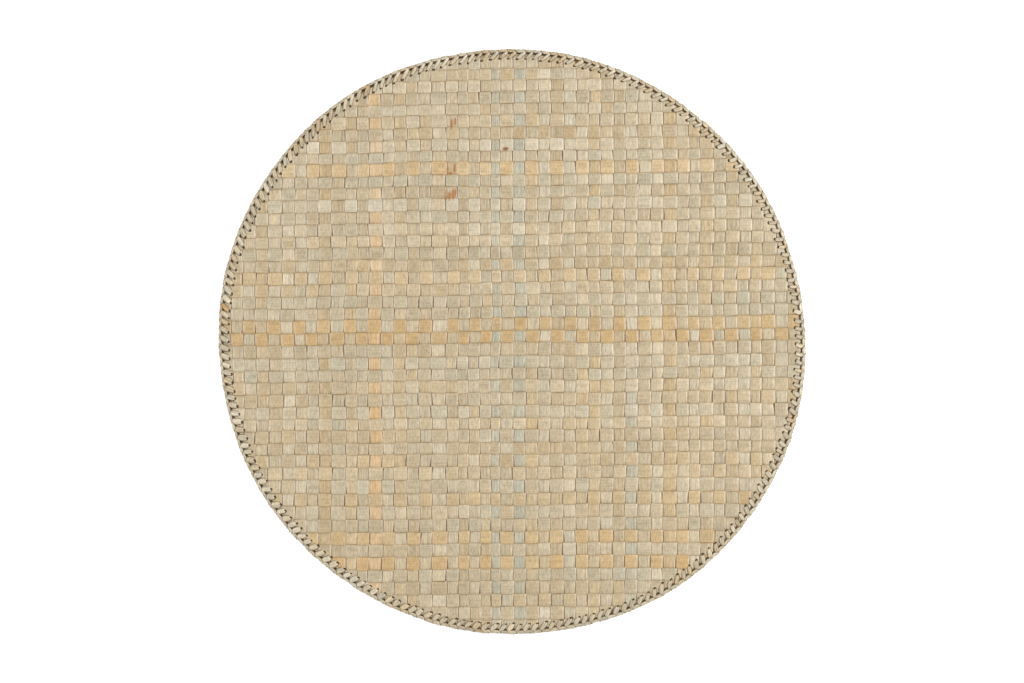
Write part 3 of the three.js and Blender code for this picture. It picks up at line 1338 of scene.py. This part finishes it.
@dataclass
class RimLacing:
    """The blanket stitch that laces over the field's cut edge.

    Attributes:
        outline: The mat's outline.
        stitches: How many stitches go round the mat.
        lean: How much further the legs lean than the route says, on average, as a slope.
        lean_lobes: How this changes round the mat: the legs lean most at the top left, least at the right.
        lean_chance: How it changes from one stitch to another.
        lean_start: How far outside the field's cut edge the lean starts.
        spread: How much broader the legs lie than the route says, on average, as a share.
        spread_lobes: How this changes round the mat: they are broadest at the lower left.
        leg_start: Between which places outside the field's cut edge a stitch becomes a leg.
        draws: What is drawn for each stitch: its colour and its own stretch of leaf.
        amber_stitch: The number of the one amber stitch.
        amber_tone: Its tone.
        rolled: How much of the ridge is rolled outwards at the mat's left, where least of it shows.
        rolled_turn: Where it is rolled most, in degrees from +X.
        rolled_limit: How far outside the field's cut edge nothing is rolled any further.
        wobble: How far the hand's unevenness moves the strip.
        wobble_size: Over what length it moves it another way.
        wobble_shape: How much of it there is along the rim, across it and upwards.
        wander: How the stitches stray along the rim.
        swell: How they stray outwards.
        least_scale: The least that a stitch is stretched, along the rim, across it and upwards.
        most_scale: The most that it is.
        hole_radius: Half the width of the dark disc of painted shade at each awl hole.
        hole_length: How many times as long as wide it is, along the rim.
        hole_top: What share of its foot's width its top has.
        hole_out: How far the disc's middle lies outwards of the strip's end, which hides most of it.
        hole_height: How far the disc lies above the field's mid-plane.
        hole_rise: How thick the disc is.
        hole_sides: How many sides the disc has.
        hole_shade: How dark the disc is: the painted shade of the awl hole.
        edge_brown_and_shade: How dark the strip's slit edges are: browner leaf, and painted shade in the
            lines between stitches.
        seed: Fixes what is random.
        section: The corners of the strip's section, as shares of its width and thickness.
        route: The lacing strip's way round one stitch, from one hole to the next. It goes down through the
            field, out along the underside, up round the edge, along the ridge, and back over the top to
            the next hole.
    """

    outline: Outline
    stitches: int = 216
    lean: float = 0.16
    lean_lobes: tuple[Lobe, ...] = (
        Lobe(count=1, height=0.22, turn=139),
        Lobe(count=2, height=0.27, turn=108),
    )
    lean_chance: RoundNoise = RoundNoise(fineness=14.0, height=0.16)
    lean_start: float = 1.0 * MM
    spread: float = 0.15
    spread_lobes: tuple[Lobe, ...] = (Lobe(count=1, height=0.3, turn=215),)
    leg_start: tuple[float, float] = (0.5 * MM, -0.6 * MM)
    draws: tuple[StitchDraw, ...] = (
        StitchDraw(name="tone", low=0.1, high=0.6, reseed=1.0),
        StitchDraw(name="pale", low=-1.2, high=1.6, reseed=11.0),
        StitchDraw(name="strand", low=0.0, high=99.0, reseed=21.0),
    )
    amber_stitch: int = 111
    amber_tone: float = 0.8
    rolled: float = 0.42
    rolled_turn: float = -165.0
    rolled_limit: float = 1.9 * MM
    wobble: float = 0.5 * MM
    wobble_size: float = 3.2 * MM
    wobble_shape: tuple[float, float, float] = (2.0, 2.0, 0.5)
    wander: RoundNoise = RoundNoise(fineness=9.0, height=1.3 * MM)
    swell: RoundNoise = RoundNoise(fineness=24.0, height=0.25 * MM)
    least_scale: tuple[float, float, float] = (1.0, 0.93, 0.94)
    most_scale: tuple[float, float, float] = (1.0, 1.08, 1.1)
    hole_radius: float = 0.95 * MM
    hole_length: float = 1.2
    hole_top: float = 0.6
    hole_out: float = 0.3 * MM
    hole_height: float = 0.66 * MM
    hole_rise: float = 0.06 * MM
    hole_sides: int = 6
    hole_shade: float = 0.95
    edge_brown_and_shade: float = 0.18
    seed: int = 3
    section: tuple[tuple[float, float], ...] = (
        (-0.5, 0.0),
        (-0.28, 0.5),
        (-0.02, 0.12),
        (0.26, 0.5),
        (0.5, 0.0),
        (0.0, -0.5),
    )
    route: tuple[StitchPoint, ...] = (
        StitchPoint(clockwise=0.3, out=-4.1, up=-0.1, width=1.6, thick=0.55, facing=(-0.3, -0.95, 0.0)),
        StitchPoint(clockwise=0.7, out=-3.4, up=-0.9, width=2.4, thick=0.5, facing=(-0.2, -0.4, -0.9)),
        StitchPoint(clockwise=2.3, out=0.7, up=-0.92, width=2.8, thick=0.45, facing=(0.0, 0.2, -1.0)),
        StitchPoint(clockwise=3.0, out=2.1, up=0.0, width=2.3, thick=0.6, facing=(0.0, 1.0, 0.1)),
        StitchPoint(clockwise=3.5, out=1.6, up=0.85, width=2.1, thick=0.8, facing=(-0.3, 0.4, 0.9)),
        StitchPoint(clockwise=4.9, out=0.9, up=1.05, width=2.4, thick=0.9, facing=(-0.05, 0.1, 1.0)),
        StitchPoint(clockwise=6.4, out=1.0, up=0.9, width=2.4, thick=0.9, facing=(0.05, 0.25, 1.0)),
        StitchPoint(clockwise=7.8, out=1.4, up=0.5, width=2.2, thick=0.8, facing=(0.2, 0.35, 1.0)),
        StitchPoint(clockwise=8.5, out=0.9, up=0.4, width=2.3, thick=0.6, facing=(0.6, 0.2, 0.8)),
        StitchPoint(clockwise=8.0, out=-0.4, up=0.76, width=2.9, thick=0.5, facing=(0.2, -0.1, 1.0)),
        StitchPoint(clockwise=7.2, out=-1.9, up=0.9, width=3.1, thick=0.6, facing=(0.0, 0.0, 1.0)),
        StitchPoint(clockwise=6.3, out=-3.4, up=0.76, width=2.8, thick=0.6, facing=(-0.1, -0.3, 1.0)),
        StitchPoint(clockwise=5.7, out=-4.3, up=0.3, width=1.7, thick=0.55, facing=(-0.2, -0.7, 0.7)),
    )

    def build(self, mid_height: float) -> Piece:
        """Makes one stitch, repeats it round the mat and dresses it.

        Args:
            mid_height: The height of the field's mid-plane at the rim.

        Returns:
            The lacing.
        """
        edge_radius = self.outline.radius - FIELD_EDGE_INSET
        values = {
            "Stitches": self.stitches,
            "Pitch": 2 * math.pi * edge_radius / self.stitches,
            "Edge Radius": edge_radius,
            "Mid Height": mid_height,
            "Lean": self.lean,
            "Lean Start": self.lean_start,
            "Spread": self.spread,
            "Rolled": self.rolled,
            "Rolled Limit": self.rolled_limit,
            "Wobble": self.wobble,
            "Wobble Size": self.wobble_size,
            "Amber Stitch": float(self.amber_stitch),
            "Amber Tone": self.amber_tone,
            "Seed": self.seed,
            "Leaf": LACING_LEAF.material(),
        }
        piece = link_piece("blanket_stitch_lacing", self.stitch_mesh())
        shape_with_tree(piece, self.lacing_tree(values), values)
        return piece

    def stitch_mesh(self) -> Mesh:
        """Sweeps the strip's section along its way round one stitch.

        Returns:
            The stitch, with clockwise along X, outwards along Y and upwards along Z.
        """
        way = np.array([[p.clockwise, p.out, p.up, p.width, p.thick, *p.facing] for p in self.route])
        way[:, :5] *= MM
        heading = np.gradient(way[:, :3], axis=0)
        run = np.concatenate([[0], np.cumsum(np.linalg.norm(np.diff(way[:, :3], axis=0), axis=1))])
        points, place, painted_shade_and_browning = [], [], []
        for row, tangent, along in zip(way, heading, run):
            tangent = tangent / np.linalg.norm(tangent)
            facing = row[5:8] - tangent * np.dot(row[5:8], tangent)
            facing = facing / np.linalg.norm(facing)
            sideways = np.cross(tangent, facing)
            for share, rise in self.section:
                points.append(row[:3] + sideways * share * row[3] + facing * rise * row[4])
                place.append((along, share * row[3], 0.0))
                # The slit edges are browner, and they also get painted shade in the lines between stitches.
                painted_shade_and_browning.append(self.edge_brown_and_shade if rise == 0 else 0.0)
        count = len(self.section)
        faces = []
        for start in range(0, (len(way) - 1) * count, count):
            for i in range(count):
                after = (i + 1) % count
                faces.append((start + i, start + after, start + count + after, start + count + i))
        faces.append(tuple(range(count))[::-1])
        faces.append(tuple(range((len(way) - 1) * count, len(way) * count)))
        self.add_hole_shade_disc(points, faces)
        place.extend([(0.0, 0.0, 0.0)] * (len(points) - len(place)))
        # The dome at the awl hole is painted near-black, as the hole's shade.
        painted_shade_and_browning.extend([self.hole_shade] * (len(points) - len(painted_shade_and_browning)))
        mesh = bpy.data.meshes.new("stitch")
        mesh.from_pydata([tuple(point) for point in points], [], faces)
        leaf = mesh.attributes.new("leaf", "FLOAT_VECTOR", "POINT")
        leaf.data.foreach_set("vector", np.array(place).ravel())
        mesh.attributes.new("painted_shade_and_browning", "FLOAT", "POINT").data.foreach_set("value", painted_shade_and_browning)
        return mesh

    def add_hole_shade_disc(self, points: list[np.ndarray], faces: list[tuple[int, ...]]) -> None:
        """Adds a low closed dome on the field at the stitch's awl hole, near-black with the painted shade
        of the hole.

        Args:
            points: The stitch's corners, which it is added to.
            faces: The stitch's faces, which it is added to.
        """
        end = self.route[-1]
        first, count = len(points), self.hole_sides
        for radius, height in ((self.hole_radius, 0.0), (self.hole_top * self.hole_radius, self.hole_rise)):
            for i in range(count):
                angle = 2 * math.pi * i / count
                clockwise = end.clockwise * MM + self.hole_length * radius * math.cos(angle)
                out = end.out * MM + self.hole_out + radius * math.sin(angle)
                points.append(np.array([clockwise, out, self.hole_height + height]))
        for i in range(count):
            after = (i + 1) % count
            faces.append((first + i, first + after, first + count + after, first + count + i))
        faces.append(tuple(range(first + count, first + 2 * count)))
        faces.append(tuple(range(first, first + count))[::-1])

    def lacing_tree(self, values: dict[str, Any]) -> Tree:
        """Builds the tree that repeats a stitch along a line and bends the line round the mat.

        Args:
            values: The tree's inputs.

        Returns:
            The tree.
        """
        tree, size = new_geometry_tree("blanket_stitch", values)
        step = add_node(tree, "ShaderNodeCombineXYZ", {"X": size["Pitch"]})
        counted = {"Count": size["Stitches"], "Offset": step}
        row = add_node(tree, "GeometryNodeMeshLine", counted, mode="OFFSET")
        limits = {0: self.least_scale, 1: self.most_scale, "Seed": size["Seed"]}
        scale = add_node(tree, "FunctionNodeRandomValue", limits, data_type="FLOAT_VECTOR")
        stitch = {"Points": row, "Instance": size["Geometry"], "Scale": scale}
        shape = self.toned(tree, size, add_node(tree, "GeometryNodeInstanceOnPoints", stitch))
        shape = add_node(tree, "GeometryNodeRealizeInstances", {"Geometry": shape})
        shape = self.leaf_of_its_own(tree, shape)
        place = self.bent_place(tree, size)
        shape = add_node(tree, "GeometryNodeSetPosition", {"Geometry": shape, "Position": place})
        return finish_geometry_tree(tree, shape, size["Leaf"])

    def toned(self, tree: Tree, size: Sockets, shape: Source) -> Node:
        """Gives every stitch a tone, a paleness and its own stretch of leaf.

        Args:
            tree: The lacing tree.
            size: Its inputs.
            shape: The stitches, as instances.

        Returns:
            The stitches with their attributes.
        """
        options = {"data_type": "FLOAT", "domain": "INSTANCE"}
        for draw in self.draws:
            seed = add_node(tree, "ShaderNodeMath", {0: size["Seed"], 1: draw.reseed}, operation="ADD")
            drawn = {2: draw.low, 3: draw.high, "Seed": seed}
            value = add_node(tree, "FunctionNodeRandomValue", drawn, data_type="FLOAT")
            stored = {"Geometry": shape, "Name": draw.name, "Value": value}
            shape = add_node(tree, "GeometryNodeStoreNamedAttribute", stored, **options)
        number = add_node(tree, "GeometryNodeInputIndex")
        compared = {0: number, 1: size["Amber Stitch"], 2: 0.5}
        amber = add_node(tree, "ShaderNodeMath", compared, operation="COMPARE")
        stored = {"Geometry": shape, "Selection": amber, "Name": "tone", "Value": size["Amber Tone"]}
        return add_node(tree, "GeometryNodeStoreNamedAttribute", stored, **options)

    def leaf_of_its_own(self, tree: Tree, shape: Source) -> Node:
        """Moves every stitch's place on the leaf, so that no two show the same veins.

        Args:
            tree: The lacing tree.
            shape: The realized stitches.

        Returns:
            The stitches with their new places.
        """
        place, strand = (
            add_node(tree, "GeometryNodeInputNamedAttribute", {"Name": name}, data_type=kind)
            for name, kind in (("leaf", "FLOAT_VECTOR"), ("strand", "FLOAT"))
        )
        apart = add_node(tree, "ShaderNodeCombineXYZ", {"Z": strand})
        moved = add_node(tree, "ShaderNodeVectorMath", {0: place, 1: apart}, operation="ADD")
        stored = {"Geometry": shape, "Name": "leaf", "Value": moved}
        options = {"data_type": "FLOAT_VECTOR", "domain": "POINT"}
        return add_node(tree, "GeometryNodeStoreNamedAttribute", stored, **options)

    def bent_place(self, tree: Tree, size: Sockets) -> Node:
        """Bends the straight row of stitches round the mat and makes it uneven.

        Args:
            tree: The lacing tree.
            size: Its inputs.

        Returns:
            Each corner's new place.
        """
        radius, seed = size["Edge Radius"], size["Seed"]
        parts = add_node(tree, "ShaderNodeSeparateXYZ", {0: self.wobbled(tree, size)}).outputs
        turned = add_node(tree, "ShaderNodeMath", {0: parts["X"], 1: radius}, operation="DIVIDE")
        wander = self.wander.build(tree, turned, seed)
        lean = self.leaning(tree, size, turned)
        started = {0: parts["Y"], 1: size["Lean Start"]}
        short = add_node(tree, "ShaderNodeMath", started, operation="SUBTRACT")
        inner = add_node(tree, "ShaderNodeMath", {0: short, 1: 0.0}, operation="MINIMUM")
        broad = self.broadened(tree, size, turned, parts)
        along = add_node(tree, "ShaderNodeMath", {0: inner, 1: lean, 2: broad}, operation="MULTIPLY_ADD")
        moved = add_node(tree, "ShaderNodeMath", {0: along, 1: wander}, operation="ADD")
        angle = add_node(tree, "ShaderNodeMath", {0: moved, 1: radius}, operation="DIVIDE")
        back = add_node(tree, "ShaderNodeMath", {0: angle, 1: -1.0}, operation="MULTIPLY")
        swell = self.swell.build(tree, turned, seed)
        out = self.rolled_out(tree, size, turned, parts["Y"])
        reach = add_node(tree, "ShaderNodeMath", {0: out, 1: swell}, operation="ADD")
        distance = add_node(tree, "ShaderNodeMath", {0: reach, 1: radius}, operation="ADD")
        stretch = lobed(tree, back, self.outline.lobes, 1 / self.outline.radius, 1.0)
        arm = add_node(tree, "ShaderNodeMath", {0: distance, 1: stretch}, operation="MULTIPLY")
        cosine = add_node(tree, "ShaderNodeMath", {0: back}, operation="COSINE")
        sine = add_node(tree, "ShaderNodeMath", {0: back}, operation="SINE")
        x = add_node(tree, "ShaderNodeMath", {0: arm, 1: cosine}, operation="MULTIPLY")
        y = add_node(tree, "ShaderNodeMath", {0: arm, 1: sine}, operation="MULTIPLY")
        z = add_node(tree, "ShaderNodeMath", {0: parts["Z"], 1: size["Mid Height"]}, operation="ADD")
        return add_node(tree, "ShaderNodeCombineXYZ", {"X": x, "Y": y, "Z": z})

    def wobbled(self, tree: Tree, size: Sockets) -> Node:
        """Moves each corner a little, as the strip never lies quite the same way twice.

        Args:
            tree: The lacing tree.
            size: Its inputs.

        Returns:
            The moved place in the straight row.
        """
        before = add_node(tree, "GeometryNodeInputPosition")
        fine = add_node(tree, "ShaderNodeMath", {0: 1.0, 1: size["Wobble Size"]}, operation="DIVIDE")
        noise = add_node(tree, "ShaderNodeTexNoise", {"Vector": before, "Scale": fine, "Detail": 0.0})
        centred = {0: noise.outputs["Color"], 1: (0.5, 0.5, 0.5)}
        either_way = add_node(tree, "ShaderNodeVectorMath", centred, operation="SUBTRACT")
        weighed = {0: either_way, 1: self.wobble_shape}
        shaped = add_node(tree, "ShaderNodeVectorMath", weighed, operation="MULTIPLY")
        scaled = {0: shaped, "Scale": size["Wobble"]}
        moved = add_node(tree, "ShaderNodeVectorMath", scaled, operation="SCALE")
        return add_node(tree, "ShaderNodeVectorMath", {0: before, 1: moved}, operation="ADD")

    def leaning(self, tree: Tree, size: Sockets, turned: Source) -> Node:
        """Adds how far the legs lean, more in some places than in others, and unevenly.

        Args:
            tree: The lacing tree.
            size: Its inputs.
            turned: The clockwise angle from +X.

        Returns:
            The lean, as a slope.
        """
        back = add_node(tree, "ShaderNodeMath", {0: turned, 1: -1.0}, operation="MULTIPLY")
        lean = lobed(tree, back, self.lean_lobes, 1.0, size["Lean"])
        chance = self.lean_chance.build(tree, turned, size["Seed"])
        return add_node(tree, "ShaderNodeMath", {0: lean, 1: chance}, operation="ADD")

    def broadened(self, tree: Tree, size: Sockets, turned: Source, parts: Sockets) -> Node:
        """Spreads the legs along the rim, more in some places than in others, and leaves the ridge.

        Args:
            tree: The lacing tree.
            size: Its inputs.
            turned: The clockwise angle from +X.
            parts: Each corner's place in the straight row.

        Returns:
            How far each corner lies along the rim now.
        """
        back = add_node(tree, "ShaderNodeMath", {0: turned, 1: -1.0}, operation="MULTIPLY")
        spread = lobed(tree, back, self.spread_lobes, 1.0, size["Spread"])
        limits = {"From Min": self.leg_start[0], "From Max": self.leg_start[1]}
        leg = add_node(tree, "ShaderNodeMapRange", {"Value": parts["Y"]} | limits)
        leaf = add_node(tree, "GeometryNodeInputNamedAttribute", {"Name": "leaf"}, data_type="FLOAT_VECTOR")
        across = add_node(tree, "ShaderNodeSeparateXYZ", {0: leaf}).outputs["Y"]
        share = add_node(tree, "ShaderNodeMath", {0: spread, 1: leg}, operation="MULTIPLY")
        wider = add_node(tree, "ShaderNodeMath", {0: across, 1: share}, operation="MULTIPLY")
        return add_node(tree, "ShaderNodeMath", {0: parts["X"], 1: wider}, operation="SUBTRACT")

    def rolled_out(self, tree: Tree, size: Sockets, turned: Source, out: Source) -> Node:
        """Draws the ridge's inner side and the legs' outer ends outwards at the mat's left.

        Args:
            tree: The lacing tree.
            size: Its inputs.
            turned: The clockwise angle from +X.
            out: How far each corner lies outside the field's cut edge.

        Returns:
            How far each corner lies outside it now.
        """
        limit, hole = size["Rolled Limit"], self.route[0].out * MM
        slope = -self.rolled_limit / hole
        outer = add_node(tree, "ShaderNodeMath", {0: limit, 1: out}, operation="SUBTRACT")
        inner = add_node(tree, "ShaderNodeMath", {0: out, 1: slope, 2: limit}, operation="MULTIPLY_ADD")
        room = add_node(tree, "ShaderNodeMath", {0: outer, 1: inner}, operation="MINIMUM")
        turn = math.radians(-self.rolled_turn)
        side = add_node(tree, "ShaderNodeMath", {0: turned, 1: turn}, operation="ADD")
        cosine = add_node(tree, "ShaderNodeMath", {0: side}, operation="COSINE")
        full = {0: cosine, 1: size["Rolled"]}
        share = add_node(tree, "ShaderNodeMath", full, operation="MULTIPLY", use_clamp=True)
        return add_node(tree, "ShaderNodeMath", {0: room, 1: share, 2: out}, operation="MULTIPLY_ADD")


@dataclass(frozen=True)
class SoftLight:
    """A square studio softbox that looks at the middle of the mat.

    Attributes:
        name: The light's name.
        x: Where it hangs along X.
        y: Where it hangs along Y.
        z: How high it hangs.
        size: The length of its sides.
        watts: Its power.
    """

    name: str
    x: float
    y: float
    z: float
    size: float
    watts: float

    def build(self) -> None:
        """Hangs the softbox."""
        data = bpy.data.lights.new(self.name, "AREA")
        data.shape = "SQUARE"
        data.size = self.size
        data.energy = self.watts
        light = bpy.data.objects.new(self.name, data)
        light.location = (self.x, self.y, self.z)
        light.rotation_euler = Vector((-self.x, -self.y, -self.z)).to_track_quat("-Z", "Y").to_euler()
        bpy.context.scene.collection.objects.link(light)


@dataclass
class Studio:
    """The pale table, the soft light and the camera straight above the mat.

    Attributes:
        view_width: How much of the table the picture's width shows.
        lens: The camera's focal length in millimetres.
        sensor: The width of its sensor in millimetres.
        table: The length of the table's sides.
        table_gap: How far the table lies under the mat, so that no two faces lie in one plane.
        table_colour: The colour of its milky glass.
        table_roughness: How matt it is.
        glow: How strongly the table is lit from below, which keeps the mat's shadow on it pale.
        wall_colour: The colour of the light from all round.
        fill: Its strength.
        lights: The softboxes.
    """

    view_width: float = 0.662
    lens: float = 100.0
    sensor: float = 36.0
    table: float = 4.0
    table_gap: float = 0.02 * MM
    table_colour: str = "#fcfcfb"
    table_roughness: float = 0.9
    glow: float = 0.4
    wall_colour: str = "#ffffff"
    fill: float = 0.38
    lights: tuple[SoftLight, ...] = (
        SoftLight(name="left_softbox", x=-0.95, y=0.1, z=1.2, size=0.65, watts=9.6),
        SoftLight(name="right_softbox", x=0.95, y=0.1, z=1.2, size=0.65, watts=16.6),
    )

    def build(self) -> None:
        """Sets the whole studio up."""
        self.place_camera()
        self.lay_table()
        for light in self.lights:
            light.build()
        world = bpy.data.worlds.new("studio")
        world.use_nodes = True
        backdrop = world.node_tree.nodes["Background"]
        backdrop.inputs["Color"].default_value = linear(self.wall_colour)
        backdrop.inputs["Strength"].default_value = self.fill
        bpy.context.scene.world = world
        bpy.context.scene.view_settings.view_transform = "Standard"

    def place_camera(self) -> None:
        """Hangs the camera so that the picture's width shows view_width of the table."""
        data = bpy.data.cameras.new("camera")
        data.lens = self.lens
        data.sensor_width = self.sensor
        camera = bpy.data.objects.new("camera", data)
        camera.location = (0, 0, self.view_width * self.lens / self.sensor)
        bpy.context.scene.collection.objects.link(camera)
        bpy.context.scene.camera = camera

    def lay_table(self) -> None:
        """Lays the plain pale table top just under the mat: milky glass, lit a little from below."""
        half = self.table / 2
        mesh = bpy.data.meshes.new("table_top")
        corners = ((-half, -half), (half, -half), (half, half), (-half, half))
        mesh.from_pydata([(x, y, -self.table_gap) for x, y in corners], [], [(0, 1, 2, 3)])
        glass = bpy.data.materials.new("matt_white_table")
        glass.use_nodes = True
        shader = glass.node_tree.nodes["Principled BSDF"]
        shader.inputs["Base Color"].default_value = linear(self.table_colour)
        shader.inputs["Roughness"].default_value = self.table_roughness
        shader.inputs["Emission Color"].default_value = linear(self.table_colour)
        shader.inputs["Emission Strength"].default_value = self.glow
        mesh.materials.append(glass)
        link_piece("table_top", mesh)


def report(piece: Piece) -> None:
    """Logs a finished piece's name, triangles and size.

    Args:
        piece: The piece.
    """
    piece.data.calc_loop_triangles()
    size = " x ".join(f"{side / MM:.1f}" for side in piece.dimensions)
    log.info("%s: %d triangles, %s mm", piece.name, len(piece.data.loop_triangles), size)


def main() -> None:
    """Builds the studio, the woven field and its lacing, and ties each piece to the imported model."""
    logging.basicConfig(level=logging.INFO, format="%(name)s: %(message)s")
    Studio().build()
    outline = Outline()
    woven = WovenField(outline=outline, lattice=Lattice())
    weft, warp = woven.build()
    lacing = RimLacing(outline=outline).build(mid_height=RIM_MID_HEIGHT)
    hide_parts("woven_field")
    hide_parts("woven_field")
    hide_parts("rim_lacing")
    for piece, slot in ((weft, "field_leaf"), (warp, "field_leaf"), (lacing, "lacing_leaf")):
        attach(piece, "root")
        report(piece)


if __name__ == "__main__":
    main()
